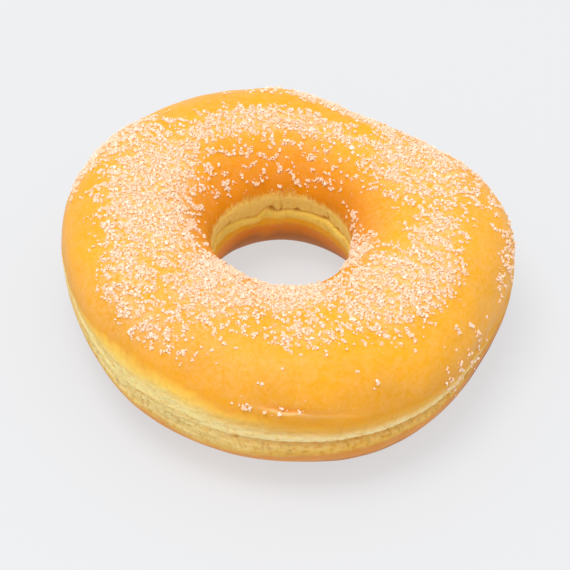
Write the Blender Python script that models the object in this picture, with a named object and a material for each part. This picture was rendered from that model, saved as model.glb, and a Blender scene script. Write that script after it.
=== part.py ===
"""A sugared ring doughnut of raised dough, fried on both sides.

The ring lies on its flat underside, with the middle of its outline on the origin. +Z is up, the
near side faces -Y, and +X is on the right of somebody who looks at the near side.
The dough is one solid. Its largest sugar crystals are fused onto it.

An azimuth runs anticlockwise round the ring from +X, seen from above. A turn runs round the
section of the dough: 0 at the outer waist, 90 degrees at the crown, 180 in the hole and 270
under the ring.
"""

import math
import random

import bmesh
import bpy
from mathutils import Euler, Matrix, Vector

MM = 0.001

# Driving dimensions of the dough
OUTER_RADIUS = 46.2 * MM
HOLE_RADIUS = 13.7 * MM
THICKNESS = 31.0 * MM

# Waves that make the ring uneven: lobes round the ring, size, azimuth of a crest in degrees
OUTLINE_WAVES = ((2, 2.2 * MM, 129), (3, 1.4 * MM, 12), (4, 0.9 * MM, 13), (5, 0.8 * MM, 16))
HOLE_WAVES = ((1, 2.9 * MM, 88), (2, 0.5 * MM, 100), (3, 0.4 * MM, 63))
THICKNESS_WAVES = ((1, 0.4 * MM, 156), (2, 0.5 * MM, 166))
WAIST_WAVES = ((2, 0.45 * MM, 225), (5, 0.15 * MM, 20), (9, 0.1 * MM, 0))

# Section of the dough: an exponent of 2 is an ellipse, and more is a squarer form
CROWN_FULLNESS = 2.3
UNDERSIDE_FULLNESS = 1.95
UNDERSIDE_TAPER_OUTSIDE = 0.06
UNDERSIDE_TAPER_IN_HOLE = 0.01
WAIST_OUTSIDE = 0.48
WAIST_IN_HOLE = 0.50
FOOT_DEPTH = 1.07
WIDEST_TURN = 12

# The pale waist between the two fried crusts: a wide hollow, and a crease along its middle
WAIST_DEPTH = 0.8 * MM
WAIST_HEIGHT = 4.0 * MM
CREASE_DEPTH = 0.8 * MM
CREASE_HEIGHT = 0.9 * MM

# Mesh of the dough
AZIMUTHS = 66
CREASE_TURNS = (-9, -5.5, -3, -1.2, 1.2, 3, 5.5, 9)
CROWN_STEPS = 11
FLANK_STEPS = 4

# Sugar: patches of azimuth and turn with their half-widths in degrees, and how much they cover
SUGAR_PATCHES = (
    (165, 48, 100, 34, 0.55),
    (228, 30, 125, 30, 0.70),
    (268, 30, 120, 30, 0.60),
    (312, 26, 95, 28, 0.50),
    (345, 20, 85, 18, 0.45),
    (35, 28, 75, 35, 0.60),
    (65, 35, 52, 14, 0.70),
    (85, 45, 103, 16, 0.42),
    (345, 22, 140, 18, 0.45),
    (85, 50, 138, 14, 0.12),
    (228, 22, 47, 9, 0.12),
)
SUGARED_TURNS = (20, 160)
CRYSTALS = 300
CRYSTAL_LENGTH = (0.9 * MM, 1.5 * MM)
CRYSTAL_WIDTH_SHARE = (0.7, 1.0)
CRYSTAL_HEIGHT_SHARE = (0.6, 0.9)
CRYSTAL_SPACING = 2.3 * MM
CRYSTAL_RISE = 0.18
SUGAR_SEED = 7

CRUST_COLOUR = (0.93, 0.43, 0.06, 1.0)
CRUST_ROUGHNESS = 0.5
SHARP_EDGE = 40


def waved(mean, waves, azimuth):
    """The mean with each of the waves added to it at an azimuth."""
    for lobes, size, crest in waves:
        mean += size * math.cos(lobes * (azimuth - math.radians(crest)))
    return mean


def blend(outside, in_hole, inwards):
    """A value that changes from the outside of the ring to its hole."""
    return outside + (in_hole - outside) * inwards


def dent(distance, depth, half_height):
    """A smooth hollow of this depth, at a distance from its middle."""
    return depth * math.exp(-((distance / half_height) ** 2))


def skin_point(azimuth, turn):
    """A point of the dough's skin, before the outline is centred."""
    outer = waved(OUTER_RADIUS, OUTLINE_WAVES, azimuth)
    hole = waved(HOLE_RADIUS, HOLE_WAVES, azimuth)
    height = waved(THICKNESS, THICKNESS_WAVES, azimuth)
    middle, half_width = (outer + hole) / 2, (outer - hole) / 2

    across, up = math.cos(turn), math.sin(turn)
    fullness = CROWN_FULLNESS if up > 0 else UNDERSIDE_FULLNESS
    reach = (abs(across) ** fullness + abs(up) ** fullness) ** (-1 / fullness)
    across, up = reach * across, reach * up

    inwards = (1 - math.sin(math.cos(turn) * math.pi / 2)) / 2
    waist = height * blend(WAIST_OUTSIDE, WAIST_IN_HOLE, inwards)
    waist = waved(waist, WAIST_WAVES, azimuth)
    if up > 0:
        above_waist = (height - waist) * up
    else:
        above_waist = waist * FOOT_DEPTH * up
        across *= 1 + up * blend(UNDERSIDE_TAPER_OUTSIDE, UNDERSIDE_TAPER_IN_HOLE, inwards)
    pinch = dent(above_waist, WAIST_DEPTH, WAIST_HEIGHT) + dent(above_waist, CREASE_DEPTH, CREASE_HEIGHT)
    radius = middle + half_width * across - math.copysign(pinch * across**6, across)
    return Vector(
        (
            radius * math.cos(azimuth),
            radius * math.sin(azimuth),
            max(0.0, waist + above_waist),
        )
    )


def outline_middle():
    """The middle of the box round the dough's outline, where the origin goes."""
    rim = [skin_point(math.radians(degree), math.radians(WIDEST_TURN)) for degree in range(360)]
    lowest = Vector((min(p.x for p in rim), min(p.y for p in rim), 0))
    highest = Vector((max(p.x for p in rim), max(p.y for p in rim), 0))
    return (lowest + highest) / 2


def foot_turns():
    """The two turns, in degrees, at which the flat foot begins and ends."""
    up = 1 / FOOT_DEPTH
    across = (1 - up**UNDERSIDE_FULLNESS) ** (1 / UNDERSIDE_FULLNESS)
    half = math.degrees(math.atan2(across, up))
    return 270 - half, 270 + half


def even(start, end, steps):
    """Evenly spaced values from start to end, without the two ends."""
    return [start + (end - start) * (i + 1) / (steps + 1) for i in range(steps)]


def section_turns():
    """The turns of the mesh's lines round the section: close at the creases, wide on the domes."""
    above, below = CREASE_TURNS[-1], CREASE_TURNS[0]
    foot_start, foot_end = foot_turns()
    turns = list(CREASE_TURNS)
    turns += even(above, 180 + below, CROWN_STEPS)
    turns += [180 + turn for turn in CREASE_TURNS]
    turns += even(180 + above, foot_start, FLANK_STEPS) + [foot_start]
    turns += [foot_end] + even(foot_end, 360 + below, FLANK_STEPS)
    return [math.radians(turn) for turn in turns]


def make_dough(centre):
    """The ring as a closed grid of faces, pointing out."""
    mesh = bmesh.new()
    rows = []
    for step in range(AZIMUTHS):
        azimuth = 2 * math.pi * step / AZIMUTHS
        rows.append([mesh.verts.new(skin_point(azimuth, turn) - centre) for turn in section_turns()])
    for step, row in enumerate(rows):
        following = rows[(step + 1) % AZIMUTHS]
        for place in range(len(row)):
            after = (place + 1) % len(row)
            mesh.faces.new((row[place], following[place], following[after], row[after]))
    bmesh.ops.recalc_face_normals(mesh, faces=mesh.faces)
    return object_from(mesh, "doughnut")


def object_from(mesh, name):
    """A new object in the scene that holds this bmesh."""
    data = bpy.data.meshes.new(name)
    mesh.to_mesh(data)
    mesh.free()
    made = bpy.data.objects.new(name, data)
    bpy.context.scene.collection.objects.link(made)
    return made


def sugar_cover(azimuth, turn):
    """The share of the skin that sugar hides at an azimuth and a turn, both in degrees."""
    cover = 0.0
    for at, reach, height, spread, share in SUGAR_PATCHES:
        round_ring = ((azimuth - at + 180) % 360 - 180) / reach
        round_section = (turn - height) / spread
        cover = max(cover, share * math.exp(-((round_ring**2 + round_section**2) ** 2)))
    return cover


def skin_frame(azimuth, turn):
    """The skin's point and its outward direction."""
    little = 0.01
    point = skin_point(azimuth, turn)
    along = skin_point(azimuth + little, turn) - point
    over = skin_point(azimuth, turn + little) - point
    return point, along.cross(over).normalized()


def crystal_places(rng):
    """Places for the crystals, none nearer to another than their spacing."""
    places = []
    while len(places) < CRYSTALS:
        azimuth, turn = rng.uniform(0, 360), rng.uniform(*SUGARED_TURNS)
        if rng.random() > sugar_cover(azimuth, turn):
            continue
        point, outwards = skin_frame(math.radians(azimuth), math.radians(turn))
        if all((point - other).length > CRYSTAL_SPACING for other, _ in places):
            places.append((point, outwards))
    return places


def make_crystal(point, outwards, rng):
    """A block of sugar with its middle a little above the skin."""
    length = rng.uniform(*CRYSTAL_LENGTH)
    width = length * rng.uniform(*CRYSTAL_WIDTH_SHARE)
    height = length * rng.uniform(*CRYSTAL_HEIGHT_SHARE)
    sides = Matrix.Diagonal((length, width, height, 1.0))
    turned = Euler([rng.uniform(0, math.pi) for _ in range(3)]).to_matrix().to_4x4()
    place = Matrix.Translation(point + outwards * length * CRYSTAL_RISE)
    mesh = bmesh.new()
    bmesh.ops.create_cube(mesh, size=1.0, matrix=place @ turned @ sides)
    return object_from(mesh, "crystal")


def fuse_sugar(dough, centre):
    """Joins the crystals to the dough by one Boolean union."""
    rng = random.Random(SUGAR_SEED)
    sugar = bpy.data.collections.new("sugar")
    bpy.context.scene.collection.children.link(sugar)
    for point, outwards in crystal_places(rng):
        crystal = make_crystal(point - centre, outwards, rng)
        bpy.context.scene.collection.objects.unlink(crystal)
        sugar.objects.link(crystal)
    union = dough.modifiers.new("fuse sugar", "BOOLEAN")
    union.operation = "UNION"
    union.operand_type = "COLLECTION"
    union.collection = sugar
    union.solver = "MANIFOLD"
    with bpy.context.temp_override(object=dough):
        bpy.ops.object.modifier_apply(modifier=union.name)
    for crystal in list(sugar.objects):
        bpy.data.objects.remove(crystal)
    bpy.data.collections.remove(sugar)


def crust_material():
    """Golden fried crust."""
    material = bpy.data.materials.new("golden fried crust")
    material.use_nodes = True
    shader = material.node_tree.nodes["Principled BSDF"]
    shader.inputs["Base Color"].default_value = CRUST_COLOUR
    shader.inputs["Roughness"].default_value = CRUST_ROUGHNESS
    shader.inputs["Metallic"].default_value = 0.0
    return material


def main():
    for old in list(bpy.data.objects):
        bpy.data.objects.remove(old)
    centre = outline_middle()
    dough = make_dough(centre)
    fuse_sugar(dough, centre)
    dough.data.materials.clear()
    dough.data.materials.append(crust_material())
    dough.data.shade_smooth()
    dough.data.set_sharp_from_angle(angle=math.radians(SHARP_EDGE))


main()
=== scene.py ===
"""The looks of a sugared ring doughnut of raised dough, fried on both sides.

The dough is one skin, worked out from an azimuth round the ring and a turn round its section. It
stands for the solid and has the same form, with its creases, wrinkles and pores added. Three sizes
of sugar lie on it: whole crystals, broken chips and fine grains.

An azimuth runs anticlockwise round the ring from +X, seen from above. A turn is 0 at the outer
waist, 90 degrees at the crown, 180 in the hole and 270 under the ring. The rise of a point is its
height above the waist of its own side.
"""

import math
from collections import namedtuple
from functools import partial
from itertools import permutations, product

import bmesh
import bpy
import numpy as np
from bpy.props import FloatProperty, FloatVectorProperty, IntProperty, PointerProperty
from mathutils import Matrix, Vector


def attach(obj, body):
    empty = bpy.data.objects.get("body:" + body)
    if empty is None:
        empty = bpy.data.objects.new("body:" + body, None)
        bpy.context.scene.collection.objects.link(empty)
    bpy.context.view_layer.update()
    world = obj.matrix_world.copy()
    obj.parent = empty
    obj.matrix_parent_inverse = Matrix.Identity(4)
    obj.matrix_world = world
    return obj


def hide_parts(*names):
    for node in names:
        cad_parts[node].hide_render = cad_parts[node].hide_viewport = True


bl_info = {
    "name": "Sugared ring doughnut",
    "version": (1, 0, 0),
    "blender": (4, 5, 0),
    "location": "View3D > Sidebar > Doughnut",
    "description": "Makes the fried dough, its sugar and a plain stage",
    "category": "Add Mesh",
}

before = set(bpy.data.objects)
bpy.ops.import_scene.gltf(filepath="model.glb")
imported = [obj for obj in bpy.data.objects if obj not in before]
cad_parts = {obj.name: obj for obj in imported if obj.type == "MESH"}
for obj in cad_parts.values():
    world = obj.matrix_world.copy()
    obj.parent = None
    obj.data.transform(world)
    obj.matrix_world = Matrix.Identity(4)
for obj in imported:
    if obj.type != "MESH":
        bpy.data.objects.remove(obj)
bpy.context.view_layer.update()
NODE = "doughnut"
BODY = "root"

MM = 0.001

# Waves that make the ring uneven: lobes round the ring, size, azimuth of a crest in degrees
OUTLINE_WAVES = ((2, 2.2 * MM, 129), (3, 1.4 * MM, 12), (4, 0.9 * MM, 13), (5, 0.8 * MM, 16))
HOLE_WAVES = ((1, 2.9 * MM, 88), (2, 0.5 * MM, 100), (3, 0.4 * MM, 63))
THICKNESS_WAVES = ((1, 0.4 * MM, 156), (2, 0.5 * MM, 166))
WAIST_WAVES = ((2, 0.45 * MM, 225), (5, 0.15 * MM, 20), (9, 0.1 * MM, 0))

# Section of the dough: an exponent of 2 is an ellipse, and more is a squarer form
CROWN_FULLNESS = 2.3
UNDERSIDE_FULLNESS = 1.95
UNDERSIDE_TAPER_OUTSIDE = 0.06
UNDERSIDE_TAPER_IN_HOLE = 0.01
WAIST_OUTSIDE = 0.48
WAIST_IN_HOLE = 0.50
FOOT_DEPTH = 1.07
WIDEST_TURN = 12

# The waist and its creases draw a point in by its share across, from -1 to 1, to this power
PULL_POWER = 6

# How far the crease strays from the waist: its mean outside, and waves. In the hole it also has
# bumps, each an azimuth, a half-width in degrees and a size
CREASE_DROP_OUTSIDE = 0.5 * MM
CREASE_WAVES_OUTSIDE = ((2, 0.35 * MM, 265), (7, 0.14 * MM, 40), (13, 0.10 * MM, 15), (29, 0.06 * MM, 3))
CREASE_WAVES_IN_HOLE = ((5, 0.25 * MM, 60), (11, 0.20 * MM, 22), (23, 0.12 * MM, 9))
CREASE_BUMPS_IN_HOLE = ((101, 5, 1.9 * MM), (142, 17, 2.4 * MM), (48, 9, -0.9 * MM), (235, 20, 1.2 * MM))

# Form of the creases: widths of their sides, how much of the depth is lost where the waist is broad
# and how much is kept in the hole, and the lip beside them
CREASE_STEEP = 0.38 * MM
CREASE_SOFT = 0.6 * MM
CREASE_GENTLE = 0.9 * MM
HOLE_CREASE_ABOVE = 0.36 * MM
CREASE_FADE = 0.85
HOLE_CREASE_SHARE = 0.55
LIP_HEIGHT = 0.22 * MM
LIP_PLACE = 1.2 * MM
LIP_WIDTH = 0.9 * MM

# Short cracks that climb from the crease in the hole: azimuth, half-width in degrees, height, depth
HOLE_CRACKS = (
    (97.5, 2.2, 2.6 * MM, 0.7 * MM),
    (91.5, 0.9, 5.0 * MM, 0.45 * MM),
    (81, 2.0, 1.6 * MM, 0.6 * MM),
    (58.5, 1.0, 3.8 * MM, 0.5 * MM),
    (61.5, 1.8, 1.3 * MM, 0.5 * MM),
    (132, 1.6, 1.6 * MM, 0.5 * MM),
    (48.5, 1.8, 1.2 * MM, 0.5 * MM),
    (12, 1.3, 3.0 * MM, 0.5 * MM),
    (205, 1.5, 2.5 * MM, 0.5 * MM),
    (268, 1.3, 3.4 * MM, 0.5 * MM),
    (322, 1.2, 2.4 * MM, 0.45 * MM),
)
# A crack leans to and fro in degrees over a height, begins between two rises, and narrows to a share
CRACK_LEAN = 0.5
CRACK_BEND = 0.8 * MM
CRACK_FOOT = (-0.5 * MM, 0.1 * MM)
CRACK_TIP = 0.35

# Wrinkles along the pale waist outside: rise above the crease, depth, lobes and crest of their wander
WAIST_WRINKLES = (
    (4.4 * MM, 0.14 * MM, 8, 17),
    (3.3 * MM, 0.20 * MM, 9, 10),
    (2.1 * MM, 0.28 * MM, 14, 4),
    (1.0 * MM, 0.30 * MM, 11, 21),
    (-1.3 * MM, 0.26 * MM, 16, 9),
    (-2.4 * MM, 0.20 * MM, 12, 2),
)
# A wrinkle shows between two heights of a wave of two lobes, and least where the waist is narrow
WRINKLE_WIDTH = 0.32 * MM
WRINKLE_WANDER = 0.35 * MM
WRINKLE_LOBES = (5, 17)
WRINKLE_SHOWN = (-0.3, 0.8)
WRINKLE_LEAST = 0.2
OVERTONE = 0.6

# The ledge in the front crust: azimuth, half-width and strength of its parts, its rise and waves,
# how much lower it lies for each degree further round, and the sizes of its edge and its groove
FOLD_PARTS = ((270.5, 5, 0.9), (283, 9, 0.22))
FOLD_RISE = 7.5 * MM
FOLD_WAVES = ((41, 0.10 * MM, 2), (67, 0.07 * MM, 5))
FOLD_AZIMUTH = 270
FOLD_SLOPE = -0.065 * MM
FOLD_WIDTH = 0.26 * MM
FOLD_HEIGHT_SHARE = 0.4
GROOVE_PLACE = 0.55 * MM
GROOVE_WIDTH = 0.5 * MM

# Soft relief all over, and pits and crumb in the pale dough: distance from one to the next, and seed
LUMPS = (17 * MM, 3)
DIMPLES = (7 * MM, 4)
PITS = (1.5 * MM, 5)
CRUMB = (1.3 * MM, 6)

# How strong each relief is: dimples beside lumps, the swell of the waist beside the crust's, crumb in
# the hole, and pits above the crease, where the waist is broad, and in the hole. Then the heights of
# their field between which pits open, and the azimuth and half-width in degrees where they cluster
DIMPLE_SHARE = 0.45
WAIST_SWELL = 0.35
HOLE_CRUMB = 0.4
PITS_ABOVE = 0.35
BROAD_PITS = 0.4
HOLE_PITS = 0.3
PIT_HEIGHTS = (0.75, 2.0)
POROUS_AZIMUTH = 288
POROUS_REACH = 8

# Levels of browning between which the swell grows, the browned underside ends, the top crust begins,
# the porous strip ends, the pits above it begin, and the dust and painted sheen on the crust begin
SWELL_LEVELS = (0.0, 1.5)
BROWN_LEVELS = (-1.25, -0.85)
CRUST_LEVELS = (0.7, 1.1)
STRIP_LEVELS = (-0.05, 0.35)
ABOVE_LEVELS = (0.05, 0.3)
DUST_LEVELS = (0.9, 1.5)

# Where the skin's steps round its section are closer: strength and width at the waists, as a sine of
# the turn, and strength, turn and width in degrees at the ledge
CLOSE_AT_WAIST = (2.5, 0.3)
CLOSE_AT_LEDGE = (2, 27, 3)
TURN_SAMPLES = 3601

# Where the two crusts end, with azimuth, half-width and size of bumps: from the crease outside, and
# from the waist in the hole
CRUST_EDGE_OUTSIDE = (
    5.0 * MM,
    ((228, 20, 2.8 * MM), (250, 16, 1.8 * MM), (346, 29, -3.6 * MM), (75, 45, 1.6 * MM)),
)
CRUST_EDGE_IN_HOLE = (5.9 * MM, ((130, 30, 0.7 * MM), (40, 28, -1.8 * MM)))
BROWN_EDGE_OUTSIDE = (3.0 * MM, ((250, 20, 2.4 * MM), (338, 32, -2.1 * MM), (100, 40, 1.5 * MM)))
BROWN_EDGE_IN_HOLE = (3.9 * MM, ((125, 25, -1.2 * MM), (40, 25, 1.8 * MM)))
MOST_FRIED = 3.0

# Width of the amber zone at the edge of the crust
AMBER_OUTSIDE = (2.6 * MM, ((228, 30, 3.6 * MM), (278, 30, 3.0 * MM)))
AMBER_IN_HOLE = (7.6 * MM, ())

# Where the waist outside is broad and wrinkled
SOFT_WAIST = (0.1, ((228, 30, 1.2), (95, 40, 0.6)))

# Sugar: patches of azimuth and turn with their half-widths in degrees, and how much they cover
SUGAR_PATCHES = (
    (170, 45, 100, 36, 0.70),
    (227, 20, 117, 27, 0.78),
    (236, 26, 105, 34, 0.60),
    (272, 30, 118, 24, 0.72),
    (316, 26, 92, 32, 0.62),
    (328, 16, 68, 13, 0.58),
    (350, 18, 86, 20, 0.47),
    (335, 18, 134, 11, 0.58),
    (30, 26, 86, 36, 0.55),
    (60, 34, 61, 11, 0.62),
    (98, 54, 100, 15, 0.58),
    (95, 52, 132, 22, 0.15),
    (143, 14, 62, 16, 0.53),
    (203, 18, 70, 14, 0.58),
    (219, 24, 53, 12, 0.43),
    (235, 20, 72, 12, 0.28),
    (278, 16, 80, 13, 0.38),
    (354, 13, 27, 12, 0.20),
    (12, 12, 46, 10, 0.18),
    (152, 12, 42, 11, 0.62),
    (350, 16, 148, 9, 0.43),
    (12, 26, 154, 8, 0.25),
    (324, 12, 10, 24, 0.05),
    (268, 10, 28, 3, 0.12),
    (285, 60, 48, 24, 0.006),
)
# Places for grains are tried between two turns, and kept where the cover is more than the least
SUGARED_TURNS = (-18, 168)
LEAST_COVER = 0.004
TRIES = 400_000

# Clumps: strength, size beside the clump size and seed of their two fields, and what turns the
# logarithm of a cover's odds into a height of the fields
CLUMPS = ((0.8, 1.0, 31), (0.65, 2.4, 32))
ODDS_SCALE = 1.7

# Sugar piles up between two depths in a clump, to at most so many times the heap
HEAP_DEPTHS = (0.1, 1.3)
HEAP_MOST = 3

# Haze of the finest sugar: its strength, the covers between which it thickens, and its mean and bumps
# on bare crust, where the bumps at the sides are partly dust and partly a painted sheen
HAZE = 0.55
HAZE_COVERS = (0.15, 0.75)
DUST_AND_SHEEN = (0.05, ((350, 40, 0.07), (225, 35, 0.10)))

# Kinds of grain: three extents whose orders and signs give its corners, the least and greatest share
# of its sides, how much corners stray, how much sizes differ, the least and greatest lift as a share
# of its length, how far it strays from a clump, its distance from the next, and the seed of its draws
Grains = namedtuple("Grains", "extents sides jitter unevenness lift looseness spacing seed")
CRYSTAL = Grains((1.0, 1.0, 1.0), (0.6, 1.0), 0.08, 0.2, (0.05, 0.35), 0.6, 0.56 * MM, 11)
CHIP = Grains((1.0, 0.0, 0.0), (0.7, 1.2), 0.12, 0.22, (0.0, 0.4), 0.7, 0.54 * MM, 12)
GRAIN = Grains((1.0, 0.0, 0.0), (0.7, 1.2), 0.05, 0.25, (0.0, 0.5), 1.1, 0.2 * MM, 13)


def linear(code):
    """The linear colour of an sRGB hex code."""
    parts = [int(code[place:place + 2], 16) / 255 for place in (1, 3, 5)]
    return tuple(
        part / 12.92 if part <= 0.04045 else ((part + 0.055) / 1.055) ** 2.4 for part in parts
    )


def length(name, description, default):
    """A size in metres that a user can change."""
    return FloatProperty(
        name=name, description=description, default=default, unit="LENGTH", precision=5
    )


def number(name, description, default):
    """A number of things that a user can change."""
    return IntProperty(name=name, description=description, default=default, min=12)


def colour(name, description, code):
    """A colour that a user can change."""
    return FloatVectorProperty(
        name=name, description=description, default=linear(code), subtype="COLOR", size=3, min=0, max=1
    )


class DoughSizes(bpy.types.PropertyGroup):
    """Sizes of the dough and of its relief."""

    outer_radius: length("Outer radius", "Mean radius of the ring's outside", 46.2 * MM)
    hole_radius: length("Hole radius", "Mean radius of the hole", 13.7 * MM)
    thickness: length("Thickness", "Mean height of the dough", 31.0 * MM)
    waist_depth: length("Waist depth", "Depth of the wide hollow round the waist", 0.8 * MM)
    waist_height: length("Waist height", "Half-height of the hollow round the waist", 4.0 * MM)
    crease_depth: length("Crease depth", "Depth of the crease along the waist", 0.6 * MM)
    swell: length("Swell", "Height of the soft lumps of the crust", 0.16 * MM)
    fold_depth: length("Fold depth", "Depth of the ledge in the front crust", 0.30 * MM)
    pore_depth: length("Pore depth", "Depth of the pits in the pale dough", 0.20 * MM)
    crumb_height: length("Crumb height", "Height of the crumb's relief in the pale dough", 0.035 * MM)
    azimuths: number("Azimuths", "Steps of the skin round the ring", 560)
    turns: number("Turns", "Steps of the skin round its section", 176)


class DoughColours(bpy.types.PropertyGroup):
    """Colours of the dough, from the fried crust to the pale waist."""

    golden_crust: colour("Golden crust", "Fried crust on the crown", "#F2A91A")
    amber_crust: colour("Amber crust", "Fried crust near its edge", "#EAA226")
    yellow_dough: colour("Yellow dough", "Dough just under the crust's edge", "#F8CC5C")
    pale_dough: colour("Pale dough", "Unfried dough of the waist", "#FFE69A")
    # The pale dough of the crease's lip, also laid along the ledge's raised edge as a painted highlight
    pale_lip: colour("Pale lip", "Lip of the crease outside", "#FFE6A8")
    tan_dough: colour("Tan dough", "Dough beside the lip of the crease", "#F4B450")
    strip_dough: colour("Strip dough", "Dough under the crease", "#FFD07C")
    golden_dough: colour("Golden dough", "Dough above the browned underside", "#F2BC50")
    brown_edge: colour("Brown edge", "Edge of the browned underside", "#E09440")
    underside: colour("Underside", "Browned underside", "#A8602A")
    hole_crust: colour("Hole crust", "Crust that dips into the hole", "#EA930A")
    hole_wall: colour("Hole wall", "Pale wall in the hole", "#FFDE78")
    hole_lip: colour("Hole lip", "Lip under the crease in the hole", "#FFE06C")
    hole_golden: colour("Hole golden", "Dough above the browned foot of the hole", "#F8B41C")
    hole_amber: colour("Hole amber", "Edge of the browned foot of the hole", "#EC900A")
    hole_brown: colour("Hole brown", "Browned foot of the hole", "#DE840A")
    hole_dark: colour("Hole dark", "Most browned part of the hole's foot", "#B26808")
    # Crease is painted shade: a darker orange laid into the creases, wrinkles and cracks
    crease: colour("Crease", "Bottom of the creases", "#C8862A")
    # Groove is painted shade: a deeper orange laid in the groove over the ledge
    groove: colour("Groove", "Crust in the groove over the ledge", "#E88018")
    freckle: colour("Freckle", "Small dark spots of the crust", "#D08420")
    # Pore is painted shade: a darker orange laid in the pits and in the pores of the strip
    pore_shade: colour("Pore", "Fat in the pores of the pale dough", "#E29A24")
    # Dusting is the haze of fine sugar and dust, and on the crust's sides also a painted sheen
    dusting: colour("Dusting", "Haze of the finest sugar on the crust", "#FFE6C6")


class SugarSizes(bpy.types.PropertyGroup):
    """Sizes and numbers of the grains, and their colours."""

    crystals: number("Crystals", "Most whole crystals that lie there", 9200)
    crystal_size: length("Crystal size", "Mean length of a whole crystal", 0.46 * MM)
    chips: number("Chips", "Most broken chips that lie there", 12000)
    chip_size: length("Chip size", "Mean length of a chip", 0.38 * MM)
    grains: number("Fine grains", "Most fine grains that lie there", 14000)
    grain_size: length("Fine grain size", "Mean length of a fine grain", 0.25 * MM)
    heap: length("Heap", "How high the grains pile up where the sugar lies thick", 0.03 * MM)
    clump_size: length("Clump size", "Distance from one clump of sugar to the next", 1.25 * MM)
    # Both sugar colours are warmed with painted light: the orange of the crust shining through and
    # between the grains
    clear: colour("Clear", "Clear sugar", "#FFD6AC")
    white: colour("White", "Sugar full of small cracks", "#FFE7D2")


class StageSettings(bpy.types.PropertyGroup):
    """The floor, the lights and the camera."""

    floor: colour("Floor", "Sanded white acrylic floor", "#76797E")
    glow: FloatProperty(name="Glow", description="Light that comes through the floor", default=0.60)
    sky_strength: FloatProperty(name="Sky", description="Strength of the even studio light", default=0.82)
    key_power: FloatProperty(
        name="Key", description="Power of the overhead light", default=4.4, unit="POWER"
    )
    elevation: FloatProperty(
        name="Elevation",
        description="Angle of the camera above the floor",
        default=math.radians(44),
        unit="ROTATION",
    )
    distance: length("Distance", "Distance from the camera to its target", 600 * MM)
    lens: FloatProperty(name="Lens", description="Focal length in millimetres", default=187.8)


# The target of the camera before the outline is centred, and the width of its sensor in millimetres
CAMERA_TARGET = (0.42 * MM, -3.62 * MM, 15.0 * MM)
SENSOR_WIDTH = 36.0

# The sides of the floor and of the overhead light, and where the light hangs
FLOOR_SIDE = 3.0
KEY_SIDE = 0.5
KEY_PLACE = (-0.16, -0.10, 0.92)

# A Mix node that mixes colours: its settings, and the sockets of its two colours
MIX_COLOURS = {"data_type": "RGBA", "output": 2}
MIX_A = 6
MIX_B = 7

# Stops of the ramps over how far the dough is fried, each with a colour's name, a share or a roughness
SOFT_STOPS = (
    (-3.0, "underside"),
    (-2.0, "brown_edge"),
    (-1.35, "brown_edge"),
    (-1.0, "golden_dough"),
    (-0.55, "pale_dough"),
    (0.45, "pale_dough"),
    (0.75, "yellow_dough"),
    (1.05, "amber_crust"),
    (1.7, "amber_crust"),
    (2.7, "golden_crust"),
)
CRISP_STOPS = (
    (-3.0, "underside"),
    (-1.9, "brown_edge"),
    (-1.2, "brown_edge"),
    (-0.9, "golden_dough"),
    (-0.02, "strip_dough"),
    (0.02, "pale_lip"),
    (0.28, "pale_lip"),
    (0.58, "tan_dough"),
    (0.95, "amber_crust"),
    (1.7, "amber_crust"),
    (2.7, "golden_crust"),
)
HOLE_STOPS = (
    (-3.0, "hole_dark"),
    (-1.95, "hole_dark"),
    (-1.35, "hole_brown"),
    (-1.05, "hole_amber"),
    (-0.85, "hole_golden"),
    (-0.65, "hole_golden"),
    (-0.45, "hole_lip"),
    (-0.03, "hole_lip"),
    (0.03, "hole_wall"),
    (0.7, "hole_wall"),
    (1.0, "hole_crust"),
    (1.7, "hole_crust"),
    (2.6, "golden_crust"),
)
STRIP_STOPS = ((-1.2, 0.0), (-0.9, 1.0), (-0.15, 1.0), (0.0, 0.0))
PALE_STOPS = ((-1.2, 0.0), (-0.85, 1.0), (0.6, 1.0), (1.0, 0.0))
ROUGHNESS_STOPS = ((-3.0, 0.5), (-1.1, 0.55), (-0.7, 0.72), (0.6, 0.72), (1.2, 0.45), (3.0, 0.4))

# Noise in the dough: how much it is squeezed in height, its size, and its settings. Patches and
# blotches tone the crust and move its edges, spots are its freckles, and crumb roughens pale dough.
# Streaks run along the waist, wisps are thin lines there, fibres stand upright in the hole's torn
# wall and give the strip under the crease its pores, and dust breaks up the haze of sugar and the
# painted sheen on the crust's sides.
DOUGH_NOISES = {
    "patches": (1.0, 9 * MM, {"Detail": 2.0}),
    "blotches": (1.0, 1.8 * MM, {"Detail": 3.0}),
    "spots": (1.0, 1.0 * MM, {"Detail": 0.0}),
    "crumb": (1.0, 0.35 * MM, {"Detail": 2.0}),
    "streaks": (1.4, 1.9 * MM, {"Detail": 6.0, "Roughness": 0.7, "Distortion": 0.3}),
    "wisps": (3.0, 5.5 * MM, {"Detail": 4.0, "Distortion": 0.8}),
    "fibres": (0.4, 0.9 * MM, {"Detail": 5.0, "Roughness": 0.7}),
    "dust": (1.0, 0.8 * MM, {"Detail": 4.0, "Roughness": 0.7}),
}


def waved(mean, waves, azimuth):
    """The mean plus each wave: its size times the cosine of its lobes times the way from its crest."""
    for lobes, size, crest in waves:
        mean = mean + size * np.cos(lobes * (azimuth - math.radians(crest)))
    return mean


def blend(first, second, share):
    """A value that goes from the first to the second as the share goes from 0 to 1."""
    return first + (second - first) * share


def bell(distance, half_width):
    """A smooth hill of height 1: e to the power of minus the square of distance over half-width."""
    return np.exp(-((distance / half_width) ** 2))


def step(value, low, high):
    """0 below low, 1 above high, and a cubic S between them."""
    share = np.clip((value - low) / (high - low), 0, 1)
    return share * share * (3 - 2 * share)


def uneven_wave(first, second):
    """A wave with a weaker one on it: the cosine of the first angle plus a share of the second's."""
    return np.cos(first) + OVERTONE * np.cos(second)


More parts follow.
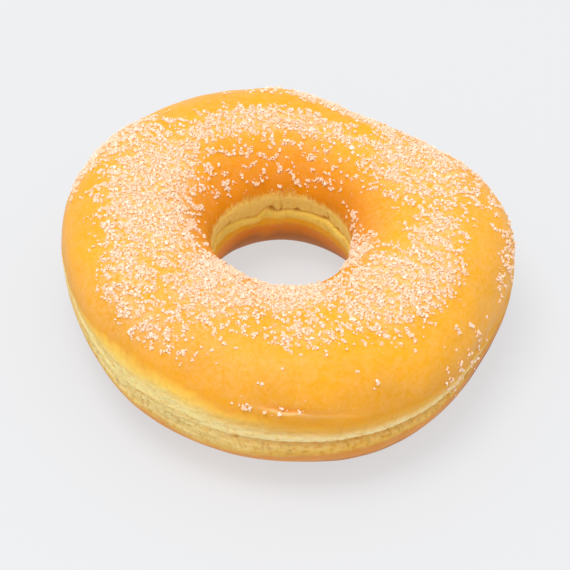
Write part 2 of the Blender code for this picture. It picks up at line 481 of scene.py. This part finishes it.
def degrees_from(azimuth, place):
    """Degrees from a place round the ring to an azimuth, the short way, from -180 to 180."""
    return (np.degrees(azimuth) - place + 180) % 360 - 180


def bumped(edge, azimuth):
    """A mean with a bell added to it for each of its bumps."""
    mean, bumps = edge
    for place, half_width, size in bumps:
        mean = mean + size * bell(degrees_from(azimuth, place), half_width)
    return mean


def ripples(points, wavelength, seed, waves=28):
    """A smooth random field of mean 0 and spread 1: a sum of plane waves in random directions."""
    rng = np.random.default_rng(seed)
    direction = rng.normal(size=(3, waves))
    direction /= np.linalg.norm(direction, axis=0)
    numbers = 2 * math.pi / (wavelength * rng.uniform(0.7, 1.5, waves))
    phases = rng.uniform(0, 2 * math.pi, waves)
    field = np.zeros(points.shape[:-1])
    for place in range(waves):
        field += np.cos(points @ (direction[:, place] * numbers[place]) + phases[place])
    return field * math.sqrt(2 / waves)


def ring_points(radius, azimuth, height):
    """Points at a distance from the ring's axis, an azimuth and a height."""
    return np.stack([radius * np.cos(azimuth), radius * np.sin(azimuth), height], axis=-1)


def section(sizes, azimuth, turn):
    """Where a point lies in the dough's section.

    It gives the section's middle radius and half-width, the point's share across, the height of its
    waist, its rise, and how far it is inwards: 0 outside the ring and 1 in the hole.
    The section is a superellipse: the cosine and sine of the turn, stretched until the sum of their
    powers is 1. Above the waist the power is the crown's, and below it the underside's.
    """
    outer = waved(sizes.outer_radius, OUTLINE_WAVES, azimuth)
    hole = waved(sizes.hole_radius, HOLE_WAVES, azimuth)
    height = waved(sizes.thickness, THICKNESS_WAVES, azimuth)
    across, up = np.cos(turn), np.sin(turn)
    fullness = np.where(up > 0, CROWN_FULLNESS, UNDERSIDE_FULLNESS)
    reach = (np.abs(across) ** fullness + np.abs(up) ** fullness) ** (-1 / fullness)
    across, up = reach * across, reach * up
    inwards = (1 - np.sin(np.cos(turn) * math.pi / 2)) / 2
    waist = waved(height * blend(WAIST_OUTSIDE, WAIST_IN_HOLE, inwards), WAIST_WAVES, azimuth)
    rise = np.where(up > 0, (height - waist) * up, waist * FOOT_DEPTH * up)
    taper = blend(UNDERSIDE_TAPER_OUTSIDE, UNDERSIDE_TAPER_IN_HOLE, inwards)
    across = across * np.where(up > 0, 1, 1 + up * taper)
    return (outer + hole) / 2, (outer - hole) / 2, across, waist, rise, inwards


def crease_rise(azimuth, inwards):
    """How far the crease lies above the waist, outside and in the hole."""
    outside = waved(-CREASE_DROP_OUTSIDE, CREASE_WAVES_OUTSIDE, azimuth)
    in_hole = waved(bumped((0.0, CREASE_BUMPS_IN_HOLE), azimuth), CREASE_WAVES_IN_HOLE, azimuth)
    return blend(outside, in_hole, inwards)


def softness(azimuth):
    """How broad and wrinkled the waist is outside, from 0 to 1: most at the left of the front."""
    return np.clip(bumped(SOFT_WAIST, azimuth), 0, 1)


def creases(sizes, azimuth, rise, inwards):
    """How far the creases, wrinkles and cracks draw the skin in, beside the wide hollow of the waist.

    The crease is a bell with a width for each side. Outside the upper side is steep, so the lip over
    it hangs, and in the hole both are steep and the lip is below. A wrinkle is a narrow bell that
    wanders along the waist and fades in and out. A crack is a bell round the ring that narrows as it
    climbs.
    """
    distance = rise - crease_rise(azimuth, inwards)
    soft = softness(azimuth)
    above = blend(blend(CREASE_STEEP, CREASE_SOFT, soft), HOLE_CREASE_ABOVE, inwards)
    below = blend(CREASE_GENTLE, CREASE_STEEP, inwards)
    depth = sizes.crease_depth * blend(1 - CREASE_FADE * soft, HOLE_CREASE_SHARE, inwards)
    pull = depth * bell(distance, np.where(distance > 0, above, below))
    lip = blend(bell(distance - LIP_PLACE, LIP_WIDTH), bell(distance + LIP_PLACE, LIP_WIDTH), inwards)
    pull = pull - LIP_HEIGHT * lip
    few, many = WRINKLE_LOBES
    for height, deep, lobes, crest in WAIST_WRINKLES:
        wander = uneven_wave(lobes * azimuth + crest, 3 * lobes * azimuth + 2 * crest)
        shown = step(uneven_wave(few * azimuth + 2 * crest, many * azimuth + crest), *WRINKLE_SHOWN)
        line = bell(distance - height - WRINKLE_WANDER * wander, WRINKLE_WIDTH)
        pull = pull + deep * line * shown * (WRINKLE_LEAST + soft) * (1 - inwards)
    for place, half_width, climb, deep in HOLE_CRACKS:
        lean = degrees_from(azimuth, place) + CRACK_LEAN * np.sin(distance / CRACK_BEND)
        reach = step(climb - distance, 0, climb) * step(distance, *CRACK_FOOT)
        pull = pull + deep * bell(lean, half_width * blend(CRACK_TIP, 1, reach)) * reach * inwards
    return pull


def fold(azimuth, rise, inwards):
    """The raised edge of the ledge in the front crust, and the groove just above it.

    Each is a narrow bell across the ledge times the strengths of its parts along the ring.
    """
    across = rise - waved(FOLD_RISE, FOLD_WAVES, azimuth)
    across = across - FOLD_SLOPE * degrees_from(azimuth, FOLD_AZIMUTH)
    along = bumped((0.0, FOLD_PARTS), azimuth) * (1 - inwards)
    return along * bell(across, FOLD_WIDTH), along * bell(across - GROOVE_PLACE, GROOVE_WIDTH)


def browning(azimuth, rise, inwards):
    """How far a point is fried: 0 in the crease, 1 at the top crust's edge, -1 at the underside's."""
    crease = crease_rise(azimuth, inwards)
    distance = rise - crease
    top_in_hole = bumped(CRUST_EDGE_IN_HOLE, azimuth) - crease
    bottom_in_hole = bumped(BROWN_EDGE_IN_HOLE, azimuth) + crease
    top = blend(bumped(CRUST_EDGE_OUTSIDE, azimuth), top_in_hole, inwards)
    bottom = blend(bumped(BROWN_EDGE_OUTSIDE, azimuth), bottom_in_hole, inwards)
    amber = blend(bumped(AMBER_OUTSIDE, azimuth), bumped(AMBER_IN_HOLE, azimuth), inwards)
    above = np.where(distance < top, distance / top, 1 + (distance - top) / amber)
    return np.clip(np.where(distance > 0, above, distance / bottom), -MOST_FRIED, MOST_FRIED)


def skin(sizes, azimuth, turn):
    """Points of the dough's skin before the outline is centred, and what its material needs.

    A point is at the middle radius plus the half-width times its share across, drawn in by the
    creases, and pushed out along its turn by the swell of the crust and the pits of the pale dough.
    The pull of the creases fades as a power of the share across, so it leaves the crown alone.
    """
    middle, half_width, across, waist, rise, inwards = section(sizes, azimuth, turn)
    fine = creases(sizes, azimuth, rise, inwards)
    pull = sizes.waist_depth * bell(rise, sizes.waist_height) + fine
    radius = middle + half_width * across - np.sign(across) * pull * np.abs(across) ** PULL_POWER
    plain = ring_points(radius, azimuth, waist + rise)
    fried = browning(azimuth, rise, inwards)

    lumps = ripples(plain, *LUMPS) + DIMPLE_SHARE * ripples(plain, *DIMPLES)
    swell = sizes.swell * lumps * blend(WAIST_SWELL, 1, step(fried, *SWELL_LEVELS))
    unbrowned = step(fried, *BROWN_LEVELS)
    pale = unbrowned * (1 - step(fried, *CRUST_LEVELS))
    crumb = sizes.crumb_height * ripples(plain, *CRUMB) * pale * blend(1, HOLE_CRUMB, inwards)
    strip = unbrowned * (1 - step(fried, *STRIP_LEVELS))
    porous = strip + PITS_ABOVE * pale * step(fried, *ABOVE_LEVELS)
    porous = porous * blend(1, BROAD_PITS, softness(azimuth)) * blend(1, HOLE_PITS, inwards)
    cluster = bell(degrees_from(azimuth, POROUS_AZIMUTH), POROUS_REACH) * (1 - inwards)
    pits = step(ripples(plain, *PITS) + cluster, *PIT_HEIGHTS) * porous

    ledge, groove = fold(azimuth, rise, inwards)
    relief = FOLD_HEIGHT_SHARE * ledge - groove
    push = swell + crumb - sizes.pore_depth * pits + sizes.fold_depth * relief
    height = np.maximum(waist + rise + push * np.sin(turn), 0)
    points = ring_points(radius + push * np.cos(turn), azimuth, height)
    masks = {
        "browning": fried,
        "inwards": inwards,
        "softness": softness(azimuth),
        # How far the creases, wrinkles and cracks draw in, which the material uses for painted shade
        "hollow": np.clip(fine / sizes.crease_depth, 0, 1),
        "pits": pits,
        "ledge": ledge,
        "groove": groove,
    }
    return points, masks


def outline_middle(sizes):
    """The middle of the box round the dough's outline, where the origin goes."""
    azimuth = np.radians(np.arange(360.0))
    turn = np.full(azimuth.shape, math.radians(WIDEST_TURN))
    middle, half_width, across, _, rise, _ = section(sizes, azimuth, turn)
    pull = sizes.waist_depth * bell(rise, sizes.waist_height)
    radius = middle + half_width * across - pull * across**PULL_POWER
    rim = ring_points(radius, azimuth, np.zeros(azimuth.shape))
    return (rim.min(axis=0) + rim.max(axis=0)) / 2


def skin_frames(sizes, azimuth, turn):
    """Points of the skin, their outward directions, and the area for each square radian."""
    little = 0.004
    points = skin(sizes, azimuth, turn)[0]
    along = (skin(sizes, azimuth + little, turn)[0] - points) / little
    over = (skin(sizes, azimuth, turn + little)[0] - points) / little
    outwards = np.cross(along, over)
    area = np.linalg.norm(outwards, axis=-1)
    return points, outwards / area[..., None], area


def sugar_cover(azimuth, turn):
    """The share of the skin that sugar hides: the most of the patches, each a flat-topped bell."""
    cover = np.zeros(np.shape(azimuth))
    for place, reach, height, spread, share in SUGAR_PATCHES:
        round_ring = degrees_from(azimuth, place) / reach
        round_section = (np.degrees(turn) - height) / spread
        cover = np.maximum(cover, share * np.exp(-((round_ring**2 + round_section**2) ** 2)))
    return cover


def clump_depth(points, cover, clump_size):
    """How deep in a clump of sugar a point lies: below 0 outside, and 1 well inside.

    A random field of mean 0 and a spread near 1 is cut at the height that leaves the share of cover
    above it. For such a field that is near the logarithm of the bare share over the covered, over 1.7.
    """
    cover = np.clip(cover, 0.001, 0.999)
    field = sum(share * ripples(points, coarse * clump_size, seed) for share, coarse, seed in CLUMPS)
    return field - np.log((1 - cover) / cover) / ODDS_SCALE


def mesh_object(name, vertices, faces):
    """A mesh object of these vertices and of faces that all have as many corners."""
    mesh = bpy.data.meshes.new(name)
    mesh.vertices.add(len(vertices))
    mesh.vertices.foreach_set("co", vertices.astype(np.float32).ravel())
    mesh.loops.add(faces.size)
    mesh.loops.foreach_set("vertex_index", faces.astype(np.int32).ravel())
    mesh.polygons.add(len(faces))
    mesh.polygons.foreach_set("loop_start", np.arange(0, faces.size, faces.shape[1], dtype=np.int32))
    mesh.update(calc_edges=True)
    if mesh.validate():
        raise RuntimeError(f"the mesh of {name} has faulty faces")
    made = bpy.data.objects.new(name, mesh)
    bpy.context.scene.collection.objects.link(made)
    return made


def set_values(piece, name, values):
    """Stores a number for each vertex of a piece, for its material to read."""
    attribute = piece.data.attributes.new(name, "FLOAT", "POINT")
    attribute.data.foreach_set("value", values.astype(np.float32).ravel())


def ring_faces(rows, columns):
    """The quads of a grid that closes on itself both ways, facing out."""
    row, column = np.meshgrid(np.arange(rows), np.arange(columns), indexing="ij")
    next_row, next_column = (row + 1) % rows, (column + 1) % columns
    quads = [row * columns + column, next_row * columns + column]
    quads += [next_row * columns + next_column, row * columns + next_column]
    return np.stack(quads, axis=-1).reshape(-1, 4)


def section_turns(count):
    """Turns round the section, about three times as close at the waists and the ledge as elsewhere.

    The closeness is 1 plus a bell at each, and equal steps of its running sum give the turns.
    """
    fine = np.linspace(0, 2 * math.pi, TURN_SAMPLES)
    waist_strength, waist_width = CLOSE_AT_WAIST
    ledge_strength, ledge_turn, ledge_width = CLOSE_AT_LEDGE
    closeness = 1 + waist_strength * bell(np.sin(fine), waist_width)
    closeness += ledge_strength * bell(np.degrees(fine) - ledge_turn, ledge_width)
    travelled = np.concatenate([[0], np.cumsum((closeness[1:] + closeness[:-1]) / 2)])
    return np.interp(np.arange(count) / count * travelled[-1], travelled, fine)


def grain_form(extents):
    """A convex grain: its corners are every order and sign of three extents, its faces triangles."""
    corners = {
        tuple(sign * part for sign, part in zip(signs, order))
        for order in permutations(extents)
        for signs in product((-1.0, 1.0), repeat=3)
    }
    hull = bmesh.new()
    for corner in sorted(corners):
        hull.verts.new(corner)
    bmesh.ops.convex_hull(hull, input=hull.verts)
    bmesh.ops.triangulate(hull, faces=hull.faces)
    bmesh.ops.recalc_face_normals(hull, faces=hull.faces)
    hull.verts.index_update()
    vertices = np.array([vertex.co for vertex in hull.verts])
    faces = np.array([[vertex.index for vertex in face.verts] for face in hull.faces])
    hull.free()
    return vertices, faces


def random_turns(rng, count):
    """Rotation matrices, evenly at random: quaternions of length 1 written out as matrices."""
    quaternion = rng.normal(size=(4, count))
    w, x, y, z = quaternion / np.linalg.norm(quaternion, axis=0)
    rows = [
        [1 - 2 * (y * y + z * z), 2 * (x * y - z * w), 2 * (x * z + y * w)],
        [2 * (x * y + z * w), 1 - 2 * (x * x + z * z), 2 * (y * z - x * w)],
        [2 * (x * z - y * w), 2 * (y * z + x * w), 1 - 2 * (x * x + y * y)],
    ]
    return np.moveaxis(np.array(rows), 2, 0)


def scatter_grains(name, dough, sugar, kind, count, size):
    """One piece of many grains that lie on the dough, as a mesh at true size.

    Azimuth and turn are drawn at random, and a grain stays where the skin has area and where it is
    inside a clump, one to a cube as wide as the kind's spacing. Each grain is the kind's form times
    its own three sizes, its corners moved a little, turned at random, and set on the skin partly
    sunk, or higher where the sugar lies thick.
    """
    rng = np.random.default_rng(kind.seed)
    azimuth = rng.uniform(0, 2 * math.pi, TRIES)
    turn = np.radians(rng.uniform(*SUGARED_TURNS, TRIES))
    sugared = sugar_cover(azimuth, turn) > LEAST_COVER
    azimuth, turn = azimuth[sugared], turn[sugared]
    points, outwards, area = skin_frames(dough, azimuth, turn)
    depth = clump_depth(points, sugar_cover(azimuth, turn), sugar.clump_size)
    likely = area / area.max() * step(depth, -kind.looseness, kind.looseness)
    chosen = np.flatnonzero(rng.random(len(likely)) < likely)
    cells = np.floor(points[chosen] / kind.spacing).astype(int)
    chosen = chosen[np.sort(np.unique(cells, axis=0, return_index=True)[1])][:count]
    if len(chosen) < count / 2:
        raise RuntimeError(f"{name} found room for only {len(chosen)} of {count} grains")
    count = len(chosen)
    lengths = size * rng.lognormal(0, kind.unevenness, count)
    lift = lengths * rng.uniform(*kind.lift, count)
    pile = np.minimum(rng.exponential(1, count), HEAP_MOST)
    lift += sugar.heap * pile * step(depth[chosen], *HEAP_DEPTHS)
    middles = points[chosen] + outwards[chosen] * lift[:, None] - outline_middle(dough)
    sides = lengths[:, None] / 2 * rng.uniform(*kind.sides, (count, 3))
    corners, triangles = grain_form(kind.extents)
    local = (corners + rng.normal(0, kind.jitter, (count, *corners.shape))) * sides[:, None, :]
    vertices = np.einsum("nij,nkj->nki", random_turns(rng, count), local) + middles[:, None, :]
    faces = triangles + np.arange(count)[:, None, None] * len(corners)
    piece = mesh_object(name, vertices.reshape(-1, 3), faces.reshape(-1, 3))
    piece.data.shade_flat()
    set_values(piece, "clouding", np.repeat(rng.random(count), len(corners)))
    return piece


def add_node(tree, kind, inputs=None, stops=(), output=0, **fields):
    """Adds a node and gives one of its outputs.

    Each field sets the node up, each input is set to a value or linked to another node's output,
    and the stops fill a colour ramp.
    """
    made = tree.nodes.new(kind)
    for field, value in fields.items():
        setattr(made, field, value)
    for socket, value in (inputs or {}).items():
        if isinstance(value, bpy.types.NodeSocket):
            tree.links.new(value, made.inputs[socket])
        else:
            made.inputs[socket].default_value = value
    for place, (position, tint) in enumerate(stops):
        elements = made.color_ramp.elements
        element = elements[place] if place < 2 else elements.new(position)
        element.position = position
        element.color = (*tint, 1)
    return made.outputs[output] if made.outputs else made


def new_material(name):
    """A material with an empty node tree, and a function that adds nodes to it."""
    material = bpy.data.materials.new(name)
    material.use_nodes = True
    material.node_tree.nodes.clear()
    return material, partial(add_node, material.node_tree)


def browning_stops(stops, colours):
    """Stops of a ramp over how far the dough is fried: a colour by its name, or a number as a grey."""
    made = []
    for fried, value in stops:
        tint = getattr(colours, value) if isinstance(value, str) else (value,) * 3
        made.append(((fried + MOST_FRIED) / (2 * MOST_FRIED), tint))
    return made


def fried_dough(colours):
    """Raised dough fried in deep fat: a thin satin crust, and a matt, porous waist that stayed pale."""
    material, node = new_material("fried raised dough")
    place = node("ShaderNodeTexCoord", output="Object")
    masks = {}
    for name in ("browning", "inwards", "softness", "hollow", "pits", "ledge", "groove", "dusting"):
        masks[name] = node("ShaderNodeAttribute", attribute_name=name, output="Fac")
    noises = {}
    for name, (squeeze, size, settings) in DOUGH_NOISES.items():
        space = place
        if squeeze != 1:
            space = node("ShaderNodeMapping", {"Vector": place, "Scale": (1.0, 1.0, squeeze)})
        noises[name] = node("ShaderNodeTexNoise", {"Vector": space, "Scale": 1 / size, **settings})
    outside = node("ShaderNodeMapRange", {"Value": masks["inwards"], "To Min": 1.0, "To Max": 0.0})

    # The edges of the crust wander with the patches and blotches, and not at the crease. In the hole
    # they are torn along the fibres, above the crease alone.
    wander = node("ShaderNodeMath", {0: noises["blotches"], 1: noises["patches"]}, operation="ADD")
    wander = node("ShaderNodeMath", {0: wander, 1: 0.4, 2: -0.4}, operation="MULTIPLY_ADD")
    torn = node("ShaderNodeMath", {0: noises["fibres"], 1: 0.9, 2: -0.45}, operation="MULTIPLY_ADD")
    above = node("ShaderNodeMapRange", {"Value": masks["browning"], "From Max": 0.5})
    torn = node("ShaderNodeMath", {0: torn, 1: above}, operation="MULTIPLY")
    wander = node("ShaderNodeMix", {"Factor": masks["inwards"], "A": wander, "B": torn})
    away = node("ShaderNodeMath", {0: masks["browning"]}, operation="ABSOLUTE")
    away = node("ShaderNodeMapRange", {"Value": away, "From Min": 0.1, "From Max": 0.8})
    fried = node("ShaderNodeMath", {0: wander, 1: away, 2: masks["browning"]}, operation="MULTIPLY_ADD")
    level = node("ShaderNodeMapRange", {"Value": fried, "From Min": -MOST_FRIED, "From Max": MOST_FRIED})

    # The colour comes from how far the dough is fried, by one ramp where the waist is narrow, one
    # where it is broad and one in the hole
    ramps = []
    for stops in (CRISP_STOPS, SOFT_STOPS, HOLE_STOPS, PALE_STOPS, STRIP_STOPS, ROUGHNESS_STOPS):
        ramps.append(node("ShaderNodeValToRGB", {"Fac": level}, browning_stops(stops, colours)))
    tint, broad, in_hole, pale, strip, roughness = ramps
    for mask, ramp in ((masks["softness"], broad), (masks["inwards"], in_hole)):
        tint = node("ShaderNodeMix", {"Factor": mask, MIX_A: tint, MIX_B: ramp}, **MIX_COLOURS)

    # Patches differ a little in depth of colour, and blotches in richness
    depth = {"Value": noises["patches"], "From Min": 0.3, "From Max": 0.7, "To Min": 0.96, "To Max": 1.04}
    rich = {"Value": noises["blotches"], "From Min": 0.3, "From Max": 0.7, "To Min": 1.02, "To Max": 0.97}
    depth, rich = node("ShaderNodeMapRange", depth), node("ShaderNodeMapRange", rich)
    tint = node("ShaderNodeHueSaturation", {"Color": tint, "Value": depth, "Saturation": rich})

    # Pale dough is streaked with gold outside, and along the fibres in the hole
    streaks = {"Factor": masks["inwards"], "A": noises["streaks"], "B": noises["fibres"]}
    streaks = node("ShaderNodeMix", streaks)
    streaked = node("ShaderNodeMapRange", {"Value": streaks, "From Min": 0.46, "From Max": 0.68})
    streaked = node("ShaderNodeMath", {0: streaked, 1: pale}, operation="MULTIPLY")

    # Wisps are the thin lines where their noise crosses its middle, with most on the broad waist
    wisps = node("ShaderNodeMath", {0: noises["wisps"], 1: 0.5}, operation="SUBTRACT")
    wisps = node("ShaderNodeMath", {0: wisps}, operation="ABSOLUTE")
    wisps = node("ShaderNodeMapRange", {"Value": wisps, "From Max": 0.022, "To Min": 1.0, "To Max": 0.0})
    wispy = node("ShaderNodeMapRange", {"Value": masks["softness"], "To Min": 0.25, "To Max": 1.0})
    for share in (wispy, outside, pale):
        wisps = node("ShaderNodeMath", {0: wisps, 1: share}, operation="MULTIPLY")

    # The strip under the crease has fine pores, the crust a few freckles, and sugar too fine to see
    # as grains makes a haze, which on the crust's sides is also a painted sheen
    pores = node("ShaderNodeMapRange", {"Value": noises["fibres"], "From Min": 0.54, "From Max": 0.66})
    for share in (strip, outside):
        pores = node("ShaderNodeMath", {0: pores, 1: share}, operation="MULTIPLY")
    freckled = node("ShaderNodeMapRange", {"Value": noises["spots"], "From Min": 0.70, "From Max": 0.78})
    haze_and_sheen = node("ShaderNodeMapRange", {"Value": noises["dust"], "From Min": 0.38, "From Max": 0.64})
    haze_and_sheen = node("ShaderNodeMath", {0: haze_and_sheen, 1: masks["dusting"]}, operation="MULTIPLY")

    # Layers of colour over that, each with its strength: painted shade darkens the pits and pores, the
    # creases, wrinkles, cracks and the groove over the ledge, and a painted highlight lies along the
    # ledge
    layers = (
        (streaked, 0.5, "golden_dough"),
        (wisps, 0.55, "golden_dough"),
        (freckled, 0.15, "freckle"),
        # Painted shade in the pores of the strip and in the pits
        (pores, 0.4, "pore_shade"),
        (masks["pits"], 0.6, "pore_shade"),
        # Painted shade in the creases, wrinkles and cracks, darker where they draw in further
        (masks["hollow"], 0.6, "crease"),
        # Painted shade in the groove over the ledge
        (masks["groove"], 0.7, "groove"),
        # Painted highlight along the raised edge of the ledge
        (masks["ledge"], 0.65, "pale_lip"),
        (haze_and_sheen, 1.0, "dusting"),
    )
    for mask, strength, name in layers:
        amount = node("ShaderNodeMath", {0: mask, 1: strength}, operation="MULTIPLY")
        layer = (*getattr(colours, name), 1)
        tint = node("ShaderNodeMix", {"Factor": amount, MIX_A: tint, MIX_B: layer}, **MIX_COLOURS)

    # Crust is smooth and satin, and pale dough is fuzzy and matt
    relief = noises["blotches"]
    for part, height in ((noises["crumb"], 1.2), (wisps, -0.8), (pores, -1.0), (streaks, 2.5)):
        relief = node("ShaderNodeMath", {0: part, 1: height, 2: relief}, operation="MULTIPLY_ADD")
    fuzz = node("ShaderNodeMapRange", {"Value": pale, "To Min": 0.12, "To Max": 1.0})
    relief = node("ShaderNodeMath", {0: relief, 1: fuzz}, operation="MULTIPLY")
    normal = node("ShaderNodeBump", {"Height": relief, "Strength": 0.8, "Distance": 0.16 * MM})
    shader = node(
        "ShaderNodeBsdfPrincipled",
        {
            "Base Color": tint,
            "Roughness": roughness,
            "Normal": normal,
            "IOR": 1.45,
            "Specular IOR Level": 0.18,
            "Subsurface Weight": 0.2,
            "Subsurface Radius": (1.0, 0.4, 0.15),
            "Subsurface Scale": 1.5 * MM,
        },
    )
    node("ShaderNodeOutputMaterial", {"Surface": shader})
    return material


def granulated_sugar(colours):
    """Granulated sugar, crystallised and sieved: blocks with glossy faces, clear or clouded by cracks."""
    material, node = new_material("granulated sugar")
    clouding = node("ShaderNodeAttribute", attribute_name="clouding", output="Fac")
    # The clear and clouded colours carry painted light, the crust's orange glowing through the grains
    clear, white = (*colours.clear, 1), (*colours.white, 1)
    tint = node("ShaderNodeMix", {"Factor": clouding, MIX_A: clear, MIX_B: white}, **MIX_COLOURS)
    shader = node(
        "ShaderNodeBsdfPrincipled",
        {
            "Base Color": tint,
            "Roughness": 0.2,
            "IOR": 1.54,
            "Subsurface Weight": 0.2,
            "Subsurface Radius": (1.0, 0.9, 0.8),
            "Subsurface Scale": 0.15 * MM,
        },
    )
    node("ShaderNodeOutputMaterial", {"Surface": shader})
    return material


def matt_acrylic(tint, glow):
    """Sanded white acrylic with light behind it: matt and even.

    It lets light through, so it reflects as a middle grey and its glow makes it white. Its tooth is
    drawn 0.8 mm wide, coarser than a real one, and is too shallow to see a step away.
    """
    material, node = new_material("sanded white acrylic")
    place = node("ShaderNodeTexCoord", output="Object")
    tooth = node("ShaderNodeTexNoise", {"Vector": place, "Scale": 1 / (0.8 * MM)})
    normal = node("ShaderNodeBump", {"Height": tooth, "Strength": 0.1, "Distance": 0.02 * MM})
    shader = node(
        "ShaderNodeBsdfPrincipled",
        {
            "Base Color": (*tint, 1),
            "Roughness": 0.7,
            "Normal": normal,
            "Emission Color": (1, 1, 1, 1),
            "Emission Strength": glow,
        },
    )
    node("ShaderNodeOutputMaterial", {"Surface": shader})
    return material


class DOUGHNUT_OT_dough(bpy.types.Operator):
    """Make the fried dough, which stands for the solid."""

    bl_idname = "doughnut.make_dough"
    bl_label = "Dough"

    def execute(self, context):
        sizes = context.scene.doughnut_dough
        azimuths = np.arange(sizes.azimuths) * 2 * math.pi / sizes.azimuths
        azimuth, turn = np.meshgrid(azimuths, section_turns(sizes.turns), indexing="ij")
        points, masks = skin(sizes, azimuth, turn)
        vertices = (points - outline_middle(sizes)).reshape(-1, 3)
        dough = mesh_object("dough", vertices, ring_faces(sizes.azimuths, sizes.turns))
        dough.data.shade_smooth()
        masks["dusting"] = HAZE * step(sugar_cover(azimuth, turn), *HAZE_COVERS)
        # Dust on bare crust, with bumps at the sides that are partly a painted sheen
        masks["dusting"] += bumped(DUST_AND_SHEEN, azimuth) * step(masks["browning"], *DUST_LEVELS)
        for name, values in masks.items():
            set_values(dough, name, values)
        dough.data.materials.append(fried_dough(context.scene.doughnut_colours))
        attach(dough, BODY)
        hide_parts(NODE)
        return {"FINISHED"}


class DOUGHNUT_OT_sugar(bpy.types.Operator):
    """Scatter the sugar over the dough: whole crystals, chips and fine grains."""

    bl_idname = "doughnut.scatter_sugar"
    bl_label = "Sugar"

    def execute(self, context):
        dough, sugar = context.scene.doughnut_dough, context.scene.doughnut_sugar
        material = granulated_sugar(sugar)
        for name, kind, count, size in (
            ("sugar_crystals", CRYSTAL, sugar.crystals, sugar.crystal_size),
            ("sugar_chips", CHIP, sugar.chips, sugar.chip_size),
            ("sugar_grains", GRAIN, sugar.grains, sugar.grain_size),
        ):
            piece = scatter_grains(name, dough, sugar, kind, count, size)
            piece.data.materials.append(material)
            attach(piece, BODY)
        return {"FINISHED"}


class DOUGHNUT_OT_stage(bpy.types.Operator):
    """Lay the floor, and set the lights and the camera."""

    bl_idname = "doughnut.set_stage"
    bl_label = "Stage"

    def execute(self, context):
        scene, stage = context.scene, context.scene.doughnut_stage
        corners = np.array([(-1, -1, 0), (1, -1, 0), (1, 1, 0), (-1, 1, 0)]) * FLOOR_SIDE / 2
        floor = mesh_object("floor", corners, np.array([[0, 1, 2, 3]]))
        floor.data.materials.append(matt_acrylic(stage.floor, stage.glow))

        world = bpy.data.worlds.new("studio")
        world.use_nodes = True
        world.node_tree.nodes["Background"].inputs["Strength"].default_value = stage.sky_strength
        world.node_tree.nodes["Background"].inputs["Color"].default_value = (1, 1, 1, 1)
        scene.world = world

        key = bpy.data.objects.new("key light", bpy.data.lights.new("key light", "AREA"))
        key.data.shape = "DISK"
        key.data.size = KEY_SIDE
        key.data.energy = stage.key_power
        key.location = KEY_PLACE
        key.rotation_euler = (-Vector(KEY_PLACE)).to_track_quat("-Z", "Y").to_euler()
        scene.collection.objects.link(key)

        camera = bpy.data.objects.new("camera", bpy.data.cameras.new("camera"))
        target = Vector(CAMERA_TARGET) - Vector(outline_middle(scene.doughnut_dough))
        away = Vector((0, -math.cos(stage.elevation), math.sin(stage.elevation)))
        camera.location = target + away * stage.distance
        camera.rotation_euler = (-away).to_track_quat("-Z", "Y").to_euler()
        camera.data.lens = stage.lens
        camera.data.sensor_width = SENSOR_WIDTH
        scene.collection.objects.link(camera)
        scene.camera = camera
        scene.view_settings.view_transform = "Standard"
        return {"FINISHED"}


class DOUGHNUT_PT_panel(bpy.types.Panel):
    """Lists the steps of making the doughnut, and what can be changed."""

    bl_idname = "DOUGHNUT_PT_panel"
    bl_label = "Sugared ring doughnut"
    bl_space_type = "VIEW_3D"
    bl_region_type = "UI"
    bl_category = "Doughnut"

    def draw(self, context):
        for operator, groups in STEPS:
            box = self.layout.box()
            for group in groups:
                settings = getattr(context.scene, group)
                for name in settings.__annotations__:
                    box.prop(settings, name)
            box.operator(operator.bl_idname)


GROUPS = {
    "doughnut_dough": DoughSizes,
    "doughnut_colours": DoughColours,
    "doughnut_sugar": SugarSizes,
    "doughnut_stage": StageSettings,
}
STEPS = (
    (DOUGHNUT_OT_dough, ("doughnut_dough", "doughnut_colours")),
    (DOUGHNUT_OT_sugar, ("doughnut_sugar",)),
    (DOUGHNUT_OT_stage, ("doughnut_stage",)),
)
CLASSES = (*GROUPS.values(), *(operator for operator, _ in STEPS), DOUGHNUT_PT_panel)


def register():
    """Adds the classes, and the settings to each scene."""
    for made in CLASSES:
        bpy.utils.register_class(made)
    for name, group in GROUPS.items():
        setattr(bpy.types.Scene, name, PointerProperty(type=group))


def unregister():
    """Takes away what register adds."""
    for name in GROUPS:
        delattr(bpy.types.Scene, name)
    for made in reversed(CLASSES):
        bpy.utils.unregister_class(made)


def main():
    """Makes the doughnut and its stage."""
    register()
    bpy.ops.doughnut.make_dough()
    bpy.ops.doughnut.scatter_sugar()
    bpy.ops.doughnut.set_stage()


if __name__ == "__main__":
    main()
